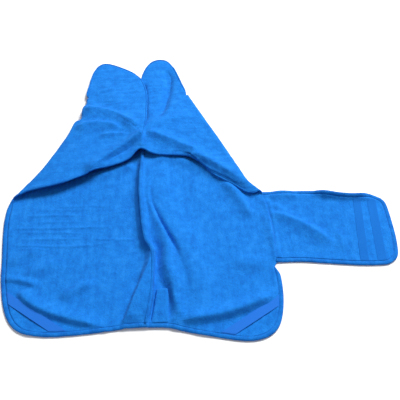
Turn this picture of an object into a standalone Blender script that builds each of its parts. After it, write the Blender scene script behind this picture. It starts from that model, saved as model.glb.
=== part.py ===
"""Pet drying robe laid open on a surface, the inside of its back facing up.

Each half is a back panel and a chest wing, sewn to it along the side, that turns up
round the side fold, lies over the back and ends in a rounded collar tab. All tables
are in millimetres: x from the centre back seam, y from the hem towards the neck,
z from the surface.
"""
import math

import bpy
import numpy as np

for item in list(bpy.data.objects):
    bpy.data.objects.remove(item, do_unlink=True)

MM = 0.001
CLOTH = 2.5          # towelling wall
BIND_W = 8.9         # width of the edge binding
BIND_T = 4.4         # thickness of the edge binding
GAP = 0.4            # space between two pieces at a seam
ELASTIC_W = 20.0     # width of a leg elastic
ELASTIC_T = 1.6
HOOK_T = 1.5         # hook tape
WELT_W = 7.0         # raised centre back seam
WELT_T = 2.6
TAB_T = 3.0          # folded tab at the hem
TURN_STEPS = 5       # columns round the side fold
BACK_COLUMNS = 17
WING_COLUMNS = 15
LOBE_ROWS = 9
EDGE_ROWS = 20
FOLD_ROWS = 14
NAPE = 648.0         # height of the nape on the centre back seam
CHEST_LIFT = 4.5     # what the chest edge keeps clear of

INSET = BIND_W + GAP

# ---------------------------------------------------------------- outlines
# centre back seam: y, x
SEAM = [(-12, 13), (16, 14), (44, 16), (77, 19), (111, 21), (129, 21), (153, 20),
        (178, 15), (196, 8), (219, 1), (259, -5), (300, -7), (357, -6), (402, -3),
        (450, 0), (660, 0)]

# lower edge of the hem binding: x, y
HEM = [(-198, -9), (-179, -12), (-157, -13), (-125, -12), (-92, -10), (-59, -7), (-30, -4),
       (0, -4), (29, -5), (51, -7), (73, -14), (105, -23), (127, -28), (148, -33),
       (170, -38), (190, -41), (206, -41)]

# outer edge from the hem round the rear corner to the foot of the side fold: x, y
EDGE = {
    "left": [(-198, -9), (-215, -5), (-232, 4), (-246, 19), (-256, 38), (-264, 62),
             (-270, 90), (-275, 120), (-279, 165), (-284, 214), (-287, 258), (-286, 290)],
    "right": [(206, -41), (221, -38), (236, -31), (249, -19), (258, -2), (264, 19),
              (268, 42), (270, 66), (270, 91), (268.6, 116.5)],
}
# the right edge above that is sewn to the belt, without binding: x, y
BELT_SEAM = [(268, 130), (268, 160), (269, 201), (267, 240), (264, 272)]

# outermost line of the side fold, foot to nape: x, y, bend radius, slip of the turn
FOLD = {
    "left": [(-281, 305, 6.0, 34), (-259, 338, 7.0, 26), (-237, 369, 8.0, 14),
             (-215, 405, 8.5, 5), (-192, 453, 8.5, 0), (-170, 504, 8.5, 0),
             (-162, 538, 8.5, 0), (-147, 550, 8.0, 0), (-144, 588, 7.5, 0),
             (-138, 606, 6.0, 0), (-135, 628, 5.0, 0)],
    "right": [(262, 303, 4.5, 14), (243, 323, 5.0, 8), (228, 341, 6.0, 4),
              (210, 387, 7.0, 0), (187, 444, 8.0, 0), (164, 500, 8.5, 0),
              (139, 561, 7.5, 0), (113, 628, 5.0, 0)],
}

# chest edge from the mouth outwards, outer side of its binding: x, y, z
CHEST = {
    "left": [(-0.4, 436, 27), (-5, 435, 26), (-12, 429, 25), (-19, 418, 24),
             (-27, 409, 23), (-40, 401, 23), (-64, 390, 24), (-91, 380, 24),
             (-117, 368, 24), (-144, 356, 24), (-169, 345, 23), (-196, 338, 22),
             (-220, 334, 20), (-240, 331, 17)],
    "right": [(0.4, 436, 23.5), (6, 434, 23.5), (16, 427, 23), (30, 421, 22),
              (52, 418, 21), (74, 418, 19), (92, 417, 16), (107, 411, 13),
              (122, 399, 11.5), (138, 381, 10.5), (156, 361, 10), (180, 342, 9.5),
              (201, 326, 9), (221, 309, 9), (238, 303, 10)],
}
# centre front, mouth to closure: x, y, z of each half's edge
FRONT = {
    "left": [(-0.4, 445.3, 27), (2.5, 488, 33)],
    "right": [(0.4, 445.3, 23.5), (-2.5, 488, 27)],
}
# collar tab, outer side of its binding: x, y, z
LOBE_OUTER = {
    "left": [(-137, 640, 10), (-136, 660, 8.5), (-133, 682, 6.5), (-130, 707, 5)],
    "right": [(109, 642, 10.5), (101, 670, 9), (93, 702, 7.5), (84, 735, 6)],
}
LOBE_TIP = {
    "left": [(-10, 711, 8.5), (-24, 727, 7.5), (-52, 749, 5.5), (-81, 767, 3.5),
             (-99, 770, 2.8), (-114, 760, 2.8), (-125, 736, 3.2)],
    "right": [(1, 726, 2.8), (10, 751, 2.8), (24, 771, 2.8), (41, 779, 2.8),
              (57, 777, 2.8), (68, 768, 3.2), (76, 754, 4)],
}
LOBE_INNER = {
    "left": [(12, 526, 28), (13, 560, 23), (14, 600, 19), (13, 634, 16.5), (6, 674, 12.5),
             (-2, 696, 10.5)],
    "right": [(-9, 526, 18), (-8, 560, 13), (-7, 600, 10), (-7, 640, 8), (-6, 680, 5),
              (-3, 704, 3.2)],
}

# belt: lower side, far end and upper side, outer side of the binding: x, y, z
BELT_LOW = [(316, 126, 0), (363, 120, 0), (410, 114, 0), (440, 111, 0), (477, 110, 0),
            (491, 113, 0), (502, 120, 0)]
BELT_END = [(503, 118, 0), (511, 133, 0), (515, 152, 0), (518, 181, 0), (519, 217, 0),
            (519, 250, 0), (517, 268, 0), (511, 282, 0)]
BELT_TOP = [(306, 311, 0), (345, 309, 1.5), (370, 304, 4), (395, 297, 6), (420, 291, 6),
            (446, 288, 5), (472, 289, 2), (492, 290, 0), (509, 281, 0)]

# ---------------------------------------------------------------- folds
# start x, y; middle x, y; end x, y; height; reach left and right of its line; fade
BACK_FOLDS = [
    (0, 470, -7, 320, 2, 215, 4.5, 9, 12, 0.25),
    (2, 225, 14, 190, 22, 150, 7, 9, 12, 0.30),
    (22, 172, -4, 88, -33, 0, 14, 26, 7, 0.16),
    (66, 196, 68, 100, 62, -6, 13, 26, 7, 0.22),
    (30, 300, 84, 200, 132, 70, 8, 40, 12, 0.30),
    (70, 14, 146, 22, 262, 84, 11, 20, 11, 0.28),
    (-268, 122, -182, 62, -70, 0, 12, 20, 10, 0.22),
    (-262, 186, -210, 190, -140, 206, 5, 18, 16, 0.35),
    (-246, 128, -180, 138, -110, 152, 5, 18, 16, 0.35),
    (-172, 64, -128, 98, -92, 128, 6, 18, 16, 0.35),
    (150, 300, 214, 262, 250, 196, 6, 22, 16, 0.35),
    (170, 150, 214, 130, 262, 138, 4, 16, 16, 0.35),
]
WING_FOLDS = {
    "left": [
        (0, 484, -57, 438, -132, 380, 9, 9, 12, 0.22),
        (-4, 462, -40, 434, -86, 398, -5, 7, 7, 0.30),
        (-100, 478, -66, 484, -30, 484, 4, 8, 9, 0.35),
        (-158, 524, -105, 536, -34, 524, 7, 8, 15, 0.25),
        (-138, 592, -86, 574, -4, 502, 8, 20, 8, 0.22),
        (-144, 566, -100, 552, -52, 538, -4, 9, 9, 0.35),
        (-118, 700, -70, 640, -30, 560, 3, 26, 26, 0.40),
    ],
    "right": [
        (6, 482, 87, 446, 172, 410, 7, 12, 16, 0.22),
        (16, 470, 80, 434, 128, 414, -4, 8, 8, 0.30),
        (84, 434, 168, 394, 248, 306, 10, 24, 16, 0.25),
        (10, 512, 50, 600, 72, 708, -4, 9, 9, 0.30),
        (-2, 560, 26, 640, 44, 748, 3, 12, 20, 0.35),
        (8, 500, 60, 530, 128, 560, 4, 14, 14, 0.35),
    ],
}
BELT_FOLDS = [
    (266, 246, 318, 210, 392, 160, 6, 14, 12, 0.28),
    (266, 292, 300, 276, 338, 284, 4, 10, 9, 0.35),
    (300, 150, 360, 172, 396, 260, 3, 16, 16, 0.35),
]


# ---------------------------------------------------------------- helpers
def along(rows, places):
    """Points of a smooth line through the rows, at the given shares of its length."""
    pts = np.array(rows, float)
    pad = np.vstack([2 * pts[0] - pts[1], pts, 2 * pts[-1] - pts[-2]])
    fine = []
    for i in range(len(pts) - 1):
        p0, p1, p2, p3 = pad[i:i + 4]
        for t in np.linspace(0, 1, 12, endpoint=False):
            bend = (2 * p0 - 5 * p1 + 4 * p2 - p3) * t * t
            turn = (3 * p1 - p0 - 3 * p2 + p3) * t ** 3
            fine.append(0.5 * (2 * p1 + (p2 - p0) * t + bend + turn))
    fine.append(pts[-1])
    fine = np.array(fine)
    steps = np.linalg.norm(np.diff(fine[:, :2], axis=0), axis=1)
    run = np.concatenate([[0], np.cumsum(steps)])
    run = run / run[-1]
    return np.column_stack([np.interp(places, run, fine[:, k]) for k in range(pts.shape[1])])


def inset(rows, distance):
    """The rows moved sideways in plan, to the left of their direction."""
    pts = np.array(rows, float)
    way = np.gradient(pts[:, :2], axis=0)
    way /= np.linalg.norm(way, axis=1)[:, None]
    moved = pts.copy()
    moved[:, 0] -= way[:, 1] * distance
    moved[:, 1] += way[:, 0] * distance
    return moved


def fold_height(points, rows):
    """Sum of the soft ridges and troughs of a fold table at the points."""
    total = np.zeros(len(points))
    for x0, y0, x1, y1, x2, y2, height, left, right, fade in rows:
        start, middle, end = np.array([[x0, y0], [x1, y1], [x2, y2]], float)
        pull = 2 * middle - (start + end) / 2
        t = np.linspace(0, 1, 33)[:, None]
        line = (1 - t) ** 2 * start + 2 * t * (1 - t) * pull + t ** 2 * end
        way = np.gradient(line, axis=0)
        way /= np.linalg.norm(way, axis=1)[:, None]
        apart = points[:, None, :2] - line[None]
        near = np.argmin((apart ** 2).sum(axis=2), axis=1)
        pick = np.arange(len(points))
        off = apart[pick, near]
        side = way[near, 0] * off[:, 1] - way[near, 1] * off[:, 0]
        over = np.abs((off * way[near]).sum(axis=1))
        reach = np.where(side > 0, left, right)
        share = near / 32.0
        ends = np.clip(np.minimum(share, 1 - share) / fade, 0, 1)
        ends = ends * ends * (3 - 2 * ends)
        total += height * ends * np.exp(-(side / reach) ** 2) * np.exp(-(over / 12.0) ** 2)
    return total


def patch(low, high, first, last, a):
    """Points spanning four border lines: low and high by column, first and last by row."""
    a = a[None, :, None]
    rise = np.linalg.norm(np.diff(last[:, :2], axis=0), axis=1)
    b = np.concatenate([[0], np.cumsum(rise)])
    b = (b / b[-1])[:, None, None]
    rows = (1 - b) * low[None] + b * high[None]
    columns = (1 - a) * first[:, None] + a * last[:, None]
    corners = ((1 - a) * (1 - b) * low[0] + a * (1 - b) * low[-1]
               + (1 - a) * b * high[0] + a * b * high[-1])
    return rows + columns - corners


def grid_normals(points, cells):
    """Averaged normals of a set of four-sided cells."""
    total = np.zeros_like(points)
    for cell in cells:
        a, b, c, d = points[list(cell)]
        face = np.cross(c - a, d - b)
        for corner in cell:
            total[corner] += face
    size = np.linalg.norm(total, axis=1)
    size[size == 0] = 1
    return total / size[:, None]


def add_node(name, points, faces, slot):
    """One closed solid from points in millimetres, its faces outward."""
    middle = points.mean(axis=0)
    volume = 0.0
    for face in faces:
        a = points[face[0]] - middle
        for i in range(1, len(face) - 1):
            b, c = points[face[i]] - middle, points[face[i + 1]] - middle
            volume += np.dot(a, np.cross(b, c))
    if volume < 0:
        faces = [tuple(reversed(face)) for face in faces]
    mesh = bpy.data.meshes.new(name)
    mesh.from_pydata([tuple(p * MM) for p in points], [], [tuple(f) for f in faces])
    mesh.validate()
    mesh.update()
    item = bpy.data.objects.new(name, mesh)
    bpy.context.collection.objects.link(item)
    mesh.materials.append(material(slot))
    return item


def sheet(name, points, cells, wall, slot, square=None):
    """A wall of even thickness about its middle points. Where it is sewn to another, its
    edge is cut square to the direction given for that point."""
    normals = grid_normals(points, cells)
    for i, across in (square or {}).items():
        normals[i] -= across * np.dot(normals[i], across)
        normals[i] /= np.linalg.norm(normals[i])
    count = len(points)
    both = np.vstack([points + normals * wall / 2, points - normals * wall / 2])
    faces = [tuple(cell) for cell in cells]
    faces += [tuple(count + i for i in reversed(cell)) for cell in cells]
    edges = {}
    for cell in cells:
        for a, b in zip(cell, cell[1:] + cell[:1]):
            edges[(a, b)] = True
    for a, b in edges:
        if (b, a) not in edges:
            faces.append((b, a, a + count, b + count))
    return add_node(name, both, faces, slot)


def cut_out(points, cells):
    """The points that some cells use, those cells renumbered, and the new numbers."""
    used = sorted({i for cell in cells for i in cell})
    place = {old: new for new, old in enumerate(used)}
    return points[used], [tuple(place[i] for i in cell) for cell in cells], place


def strip_cells(rows, columns):
    """Cells of a plain grid stored row by row."""
    cells = []
    for i in range(rows - 1):
        for j in range(columns - 1):
            k = i * columns + j
            cells.append((k, k + 1, k + columns + 1, k + columns))
    return cells


def rim(name, path, outs, normals, width, thick, slot, head=1.0, tail=1.0):
    """A rounded band along a path, lying outside it; either end can be narrower."""
    around = [(-1, -0.55), (-0.6, -1), (0.55, -1), (1, -0.4), (1, 0.4), (0.55, 1),
              (-0.6, 1), (-1, 0.55)]
    points = []
    sizes = np.ones(len(path))
    sizes[0] = head
    sizes[-2:] = [(1 + tail) / 2, tail]
    for p, out, up, size in zip(path, outs, normals, sizes):
        wide, high = width * size / 2, thick * size / 2
        middle = p + out * (GAP + wide)
        for o, n in around:
            points.append(middle + out * o * wide + up * n * high)
    count = len(around)
    faces = []
    for i in range(len(path) - 1):
        for j in range(count):
            k = (j + 1) % count
            faces.append((i * count + j, i * count + k, (i + 1) * count + k, (i + 1) * count + j))
    faces.append(tuple(reversed(range(count))))
    last = (len(path) - 1) * count
    faces.append(tuple(last + j for j in range(count)))
    return add_node(name, np.array(points), faces, slot)


def rim_frames(path, inner, normals, below):
    """Directions in the sheet away from the inner points, square to the path."""
    way = np.gradient(path, axis=0)
    way /= np.linalg.norm(way, axis=1)[:, None]
    outs = np.cross(way, normals)
    outs /= np.linalg.norm(outs, axis=1)[:, None]
    flip = ((path - inner) * outs).sum(axis=1) < 0
    outs[flip] *= -1
    # the band never dives into the surface below it
    depth = np.clip((path[:, 2] - BIND_T / 2 - 0.2 - below) / INSET, 0, 1)
    outs[:, 2] = np.maximum(outs[:, 2], -depth)
    outs /= np.linalg.norm(outs, axis=1)[:, None]
    ups = np.cross(outs, way)
    ups /= np.linalg.norm(ups, axis=1)[:, None]
    return outs, ups


MATERIALS = {
    # slot: colour, roughness
    "towelling": ((0.030, 0.223, 0.760), 0.95),
    "binding": ((0.024, 0.190, 0.690), 0.85),
    "elastic": ((0.050, 0.195, 0.780), 0.70),
    "hook_tape": ((0.028, 0.205, 0.740), 0.60),
}


def material(slot):
    """The material of a slot, made once."""
    found = bpy.data.materials.get(slot)
    if found:
        return found
    colour, rough = MATERIALS[slot]
    made = bpy.data.materials.new(slot)
    made.use_nodes = True
    shader = made.node_tree.nodes["Principled BSDF"]
    shader.inputs["Base Color"].default_value = (*colour, 1)
    shader.inputs["Roughness"].default_value = rough
    shader.inputs["Metallic"].default_value = 0.0
    return made


def seam_x(y):
    """Where the centre back seam lies."""
    table = np.array(SEAM, float)
    return np.interp(y, table[:, 0], table[:, 1])


def back_z(points, edge_distance):
    """Height of the middle of the back cloth."""
    lift = 1.1 * np.exp(-(edge_distance / 12.0) ** 2)
    return CLOTH / 2 + lift + fold_height(points, BACK_FOLDS)


# ---------------------------------------------------------------- a half
def side_line(side):
    """The outer border of a back panel from the hem to the nape, and its side fold."""
    sign = -1 if side == "left" else 1
    border = inset(EDGE[side], sign * INSET)
    fold = along(FOLD[side], np.linspace(0, 1, FOLD_ROWS + 1))
    way = np.gradient(fold[:, :2], axis=0)
    way /= np.linalg.norm(way, axis=1)[:, None]
    outward = np.column_stack([way[:, 1], -way[:, 0]]) * sign
    root = fold[:, :2] - outward * fold[:, 2:3]
    if side == "left":
        edge = along(np.vstack([border, root[:1]]), np.linspace(0, 1, EDGE_ROWS + 1))
    else:
        lower = along(border, np.linspace(0, 1, EDGE_ROWS - 8))
        upper = along(BELT_SEAM + [tuple(root[0])], np.linspace(0, 1, 9))
        upper[:-1, 0] -= GAP
        edge = np.vstack([lower, upper])
    return np.vstack([edge, root[1:]]), fold, way, outward


def seam_rows():
    """The height of each row on the centre back seam, the same on both halves."""
    mean = (side_line("left")[0][:, 1] + side_line("right")[0][:, 1]) / 2
    rise = (mean - mean[0]) / (mean[-1] - mean[0])
    return INSET + rise * (NAPE - INSET)


def build_half(side):
    """The grid of one half, row by row, and the places of its borders."""
    sign = -1 if side == "left" else 1
    outer, fold, way, outward = side_line(side)
    foot, top = EDGE_ROWS, len(outer) - 1

    # back panel: columns close together near the seam, where the pleat is
    u = np.linspace(0, 1, BACK_COLUMNS + 1) ** 1.3
    seam_y = seam_rows()
    seam = np.column_stack([seam_x(seam_y) + sign * GAP / 2, seam_y])
    back = seam[:, None] * (1 - u)[None, :, None] + outer[:, None] * u[None, :, None]
    hem = np.array(HEM, float)
    dip = np.interp(back[0, :, 0], hem[:, 0], hem[:, 1]) + INSET - back[0, :, 1]
    weight = np.clip(1 - (seam_y - INSET) / 160, 0, 1) ** 2
    back[:, :, 1] += weight[:, None] * dip[None]
    flat = back.reshape(-1, 2)
    from_side = np.linalg.norm(back - outer[:, None], axis=2)
    from_side[foot:] += 12.0 * np.arange(top - foot + 1)[:, None]
    from_hem = back[:, :, 1] - back[0:1, :, 1]
    near = np.minimum(from_side, from_hem).ravel()
    height = back_z(flat, near).reshape(back.shape[:2])
    hidden = np.clip((back[:, :, 1] - 470) / 40, 0, 1)
    height = height * (1 - hidden) + CLOTH / 2 * hidden
    back = np.dstack([back, height])

    # turn at the side fold: half circles that slip along the fold near its foot
    rows = top - foot + 1
    bend = np.zeros((rows, TURN_STEPS + 1, 3))
    for i in range(rows):
        start = back[foot + i, -1]
        radius, slip = fold[i, 2], fold[i, 3]
        for j in range(TURN_STEPS + 1):
            angle = math.pi * j / TURN_STEPS
            plan = outward[i] * radius * math.sin(angle) + way[i] * slip * j / TURN_STEPS
            bend[i, j, :2] = start[:2] + plan
            bend[i, j, 2] = start[2] + radius * (1 - math.cos(angle))

    # chest wing
    a = np.linspace(0, 1, WING_COLUMNS + 1)
    ridge_line = bend[:, -1]
    chest = inset(CHEST[side], sign * INSET)
    low = along(np.vstack([FRONT[side][:1], chest[1:], ridge_line[:1]]), a ** 1.25)
    shut = np.array(FRONT[side][1], float)
    reach = (a ** 0.85)[:, None]
    high = shut[None] * (1 - reach) + ridge_line[-1][None] * reach
    rise = np.linalg.norm(np.diff(ridge_line[:, :2], axis=0), axis=1)
    b = np.concatenate([[0], np.cumsum(rise)])
    b = (b / b[-1])[:, None]
    front = np.array(FRONT[side][0], float)[None] * (1 - b) + shut[None] * b
    wing = patch(low, high, front, ridge_line, a)

    # collar tab
    places = np.concatenate([[0, 0.018], np.linspace(0.1, 1, LOBE_ROWS - 1)])
    tip = along(inset(LOBE_TIP[side], -sign * INSET), a ** 0.95)
    outer_rows = inset(LOBE_OUTER[side], sign * INSET)
    inner_rows = inset(LOBE_INNER[side], -sign * INSET)
    first = along(np.vstack([shut[None], inner_rows, tip[:1]]), places)
    last = along(np.vstack([ridge_line[-1:], outer_rows, tip[-1:]]), places)
    lobe = patch(high, tip, first, last, a)

    # folds of the upper layer
    for block in (wing, lobe):
        lift = fold_height(block.reshape(-1, 3), WING_FOLDS[side])
        block[:, :, 2] += lift.reshape(block.shape[:2])
    lobe[0] = wing[-1]
    fade = wing[:, -1, 2] - bend[:, -1, 2]
    bend[:, :, 2] += fade[:, None] * (np.arange(TURN_STEPS + 1) / TURN_STEPS)[None] ** 2
    return {"back": back, "bend": bend, "wing": wing, "lobe": lobe, "foot": foot, "top": top,
            "outward": np.column_stack([outward, np.zeros(rows)])}


def join_half(side, half):
    """Numbers the grid of a half: its points, the cells of its two pieces, the numbers."""
    points = []
    numbers = {}

    def number(row, column, value):
        numbers[(row, column)] = len(points)
        points.append(value)

    back, bend, wing, lobe = half["back"], half["bend"], half["wing"], half["lobe"]
    foot, top = half["foot"], half["top"]
    turn = BACK_COLUMNS + TURN_STEPS
    final = turn + WING_COLUMNS
    for row in range(top + 1):
        for column in range(BACK_COLUMNS + 1):
            number(row, column, back[row, column])
        if row >= foot:
            for j in range(1, TURN_STEPS):
                number(row, BACK_COLUMNS + j, bend[row - foot, j])
            for j in range(WING_COLUMNS + 1):
                number(row, turn + j, wing[row - foot, WING_COLUMNS - j])
    for row in range(1, LOBE_ROWS + 1):
        for j in range(WING_COLUMNS + 1):
            number(top + row, turn + j, lobe[row, WING_COLUMNS - j])
    back_cells = []
    wing_cells = []
    for row in range(top + LOBE_ROWS):
        for column in range(final):
            corners = [(row, column), (row, column + 1), (row + 1, column + 1), (row + 1, column)]
            if all(c in numbers for c in corners):
                cell = tuple(numbers[c] for c in corners)
                piece = back_cells if column < BACK_COLUMNS else wing_cells
                piece.append(cell if side == "right" else tuple(reversed(cell)))
    return np.array(points), back_cells, wing_cells, numbers


def border_path(numbers, steps, inward):
    """Point numbers along a border and those one step inside it."""
    path = [numbers[s] for s in steps]
    inner = [numbers[(s[0] + d[0], s[1] + d[1])] for s, d in zip(steps, inward)]
    return path, inner


halves = {}
for side in ("left", "right"):
    half = build_half(side)
    points, back_cells, wing_cells, numbers = join_half(side, half)
    normals = grid_normals(points, back_cells + wing_cells)
    halves[side] = half
    foot, top = half["foot"], half["top"]

    # the two pieces meet edge to edge under the side fold
    fold_edge = {numbers[(foot + i, BACK_COLUMNS)]: out for i, out in enumerate(half["outward"])}
    centre = {numbers[(row, 0)]: np.array([1.0, 0, 0]) for row in range(top + 1)}
    back_points, back_cells, place = cut_out(points, back_cells)
    for i, across in fold_edge.items():
        back_points[place[i]] -= across * GAP
    square = {place[i]: across for i, across in (centre | fold_edge).items()}
    sheet(side + "_back", back_points, back_cells, CLOTH, "towelling", square)
    wing_points, wing_cells, place = cut_out(points, wing_cells)
    square = {place[i]: across for i, across in fold_edge.items()}
    sheet(side + "_chest_wing", wing_points, wing_cells, CLOTH, "towelling", square)

    turn = BACK_COLUMNS + TURN_STEPS
    final = turn + WING_COLUMNS
    hem_steps = [(0, c) for c in range(BACK_COLUMNS + 1)]
    hem_inward = [(1, 0)] * (BACK_COLUMNS + 1)
    last_row = foot if side == "left" else EDGE_ROWS - 9
    side_steps = [(r, BACK_COLUMNS) for r in range(1, last_row + 1)]
    side_inward = [(0, -1)] * len(side_steps)
    chest_steps = [(foot, c) for c in range(BACK_COLUMNS + 1, final + 1)]
    chest_inward = [(1, 0)] * len(chest_steps)
    if side == "left":
        runs = {"edge_binding_left": (hem_steps + side_steps + chest_steps,
                                      hem_inward + side_inward + chest_inward)}
    else:
        runs = {"hem_binding_right": (hem_steps + side_steps, hem_inward + side_inward),
                "chest_binding_right": (chest_steps[2:], chest_inward[2:])}
    rows = range(top + 1, top + LOBE_ROWS)
    collar = [(r, turn) for r in rows]
    collar_inward = [(0, 1)] * len(collar)
    collar += [(top + LOBE_ROWS, c) for c in range(turn, final + 1)]
    collar_inward += [(-1, 0)] * (WING_COLUMNS + 1)
    collar += [(r, final) for r in reversed(range(top, top + LOBE_ROWS))]
    collar_inward += [(0, -1)] * LOBE_ROWS
    runs["collar_binding_" + side] = (collar, collar_inward)
    for name, (steps, inward) in runs.items():
        path, inner = border_path(numbers, steps, inward)
        below = np.array([CHEST_LIFT if s in chest_steps[2:] else 0.0 for s in steps])
        outs, ups = rim_frames(points[path], points[inner], normals[path], below)
        head, tail = (0.7, 0.55) if name.startswith("collar") else (1.0, 1.0)
        if name in ("edge_binding_left", "chest_binding_right"):
            # cut square to the centre front at the mouth
            outs[-1, 0] = 0
            outs[-1] /= np.linalg.norm(outs[-1])
        rim(name, points[path], outs, ups, BIND_W, BIND_T, "binding", head, tail)

# ---------------------------------------------------------------- centre back seam
# a raised welt over the meeting edges, from the pleat to just inside the mouth
welt = []
cloth = np.vstack([half["back"].reshape(-1, 3) for half in halves.values()])
for y in np.linspace(146, 458, 21):
    x = seam_x(y)
    near = np.hypot(cloth[:, 0] - x, (cloth[:, 1] - y) * 0.6) < 9
    welt.append((x, y, cloth[near, 2].max() + CLOTH / 2 + 2 * GAP + WELT_T / 2))
welt = np.array(welt)
way = np.gradient(welt, axis=0)
way /= np.linalg.norm(way, axis=1)[:, None]
across = np.cross(way, [0.0, 0.0, 1.0])
ups = np.cross(across, way)
base = welt - across * (GAP + WELT_W / 2)
rim("centre_seam_welt", base, across, ups, WELT_W, WELT_T, "binding")

# ---------------------------------------------------------------- belly belt
ROWS, COLUMNS = 11, 14
b = np.linspace(0, 1, ROWS)
a = np.concatenate([[0, 0.03], np.linspace(0.085, 1, COLUMNS - 2)])
near_body = np.array([(x + GAP, y, 0) for x, y in BELT_SEAM], float)
low_rows = inset(BELT_LOW, INSET)
top_rows = inset(BELT_TOP, -INSET)
end_rows = inset(BELT_END, INSET)
low_first = np.array([[268 + GAP, 136.5, 0]])
top_first = np.array([[261.6, 299.5, 0]])
low_corner = np.array([[496, 127, 0.0]])
top_corner = np.array([[503, 274, 0.0]])
low = along(np.vstack([low_first, low_rows[:-1], low_corner]), a)
high = along(np.vstack([top_first, top_rows[:-1], top_corner]), a)
first = along(np.vstack([low_first, near_body[1:], top_first]), b)
last = along(np.vstack([low_corner, end_rows[1:-1], top_corner]), b)
belt = patch(low, high, first, last, a)
plan = belt.reshape(-1, 3)
near = np.minimum.reduce([np.linalg.norm(belt - belt[:, -1:], axis=2),
                          np.linalg.norm(belt - belt[:1], axis=2),
                          np.linalg.norm(belt - belt[-1:], axis=2)]).ravel()
plan[:, 2] += CLOTH / 2 + 1.1 * np.exp(-(near / 12.0) ** 2) + fold_height(plan, BELT_FOLDS)
belt_cells = strip_cells(ROWS, COLUMNS)
sheet("belly_belt", plan, belt_cells, CLOTH, "towelling")
belt_normals = grid_normals(plan, belt_cells)
path = list(range(COLUMNS)) + [r * COLUMNS + COLUMNS - 1 for r in range(1, ROWS)]
path += [(ROWS - 1) * COLUMNS + c for c in reversed(range(1, COLUMNS - 1))]
inner = [p + COLUMNS for p in range(COLUMNS)] + [p - 1 for p in path[COLUMNS:2 - COLUMNS]]
inner += [p - COLUMNS for p in path[2 - COLUMNS:]]
outs, ups = rim_frames(plan[path], plan[inner], belt_normals[path], 0.0)
rim("belt_binding", plan[path], outs, ups, BIND_W, BIND_T, "binding")

# ---------------------------------------------------------------- hook tape on the belt
# name: x at the lower end, x at the upper end, lower y, upper y, width
HOOKS = {
    "hook_strip_inner": (442, 456, 130, 272, 17),
    "hook_strip_outer": (477, 488, 128, 272, 19),
}
for name, (x0, x1, y0, y1, width) in HOOKS.items():
    spots = []
    for t in np.linspace(0, 1, 9):
        for s in (-0.5, 0, 0.5):
            spots.append((x0 + (x1 - x0) * t + s * width, y0 + (y1 - y0) * t))
    spots = np.array(spots)
    gaps = np.linalg.norm(spots[:, None] - plan[None, :, :2], axis=2)
    near = np.argsort(gaps, axis=1)[:, :4]
    weight = 1 / (np.take_along_axis(gaps, near, axis=1) + 1e-3)
    lying = (plan[near, 2] * weight).sum(axis=1) / weight.sum(axis=1)
    rest = max(lying.max(), CLOTH / 2) + CLOTH / 2 + GAP + HOOK_T / 2
    sheet(name, np.column_stack([spots, np.full(len(spots), rest)]),
          strip_cells(9, 3), HOOK_T, "hook_tape")

# ---------------------------------------------------------------- leg elastics
# name: end at the side edge x, y; end at the hem x, y; lift of the ends over the edge
ELASTICS = {
    "leg_elastic_left": (-249, 59, -154, 2, 1.9),
    "leg_elastic_right": (249, 36, 172, -20, 1.2),
}
for name, (x0, y0, x1, y1, over) in ELASTICS.items():
    run = np.array([x1 - x0, y1 - y0], float)
    square = np.array([-run[1], run[0]]) / np.linalg.norm(run)
    spots = []
    for t in np.linspace(0, 1, 9):
        across = [np.array([x0, y0]) + run * t + square * s * ELASTIC_W for s in (-0.5, 0, 0.5)]
        crest = fold_height(np.array(across), BACK_FOLDS).max()
        lift = over - (over - 0.4) * math.sin(math.pi * t)
        rest = CLOTH + lift + crest + GAP + ELASTIC_T / 2
        spots += [(spot[0], spot[1], rest) for spot in across]
    cells = strip_cells(9, 3)
    if square[1] < 0:
        cells = [tuple(reversed(c)) for c in cells]
    sheet(name, np.array(spots), cells, ELASTIC_T, "elastic")

# ---------------------------------------------------------------- tab at the hem centre
# y, x of the left and right side, z of its middle
TAB = [(INSET + 1.5, 22, 48.5, 5.8), (30, 23, 49, 6.8), (50, 25, 49.5, 8.5),
       (68, 27, 50, 10), (78, 27, 50, 10.5), (81, 27.5, 49.5, 9.5)]
tab = []
for y, x0, x1, z in TAB:
    for t in np.linspace(0, 1, 5):
        crown = 1.2 * math.sin(math.pi * t)
        tab.append((x0 + (x1 - x0) * t, y, z + crown))
sheet("hem_tab", np.array(tab), strip_cells(len(TAB), 5), TAB_T, "towelling")

# ---------------------------------------------------------------- shared frame
corners = np.array([item.matrix_world @ v.co for item in bpy.data.objects for v in item.data.vertices])
low, high = corners.min(axis=0), corners.max(axis=0)
shift = np.array([(low[0] + high[0]) / 2, (low[1] + high[1]) / 2, low[2]])
for item in bpy.data.objects:
    for v in item.data.vertices:
        v.co = tuple(np.array(v.co) - shift)
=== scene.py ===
"""Blue towelling pet drying robe, laid open flat with its chest wings folded over the back.

Sizes in the tables are millimetres: x from the centre back seam, y from the hem towards
the neck, z up from the floor. Finished meshes are in metres, in the frame of the CAD nodes.
"""

import math

import bmesh
import bpy
import numpy as np
from mathutils import Matrix, Vector, noise


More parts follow.
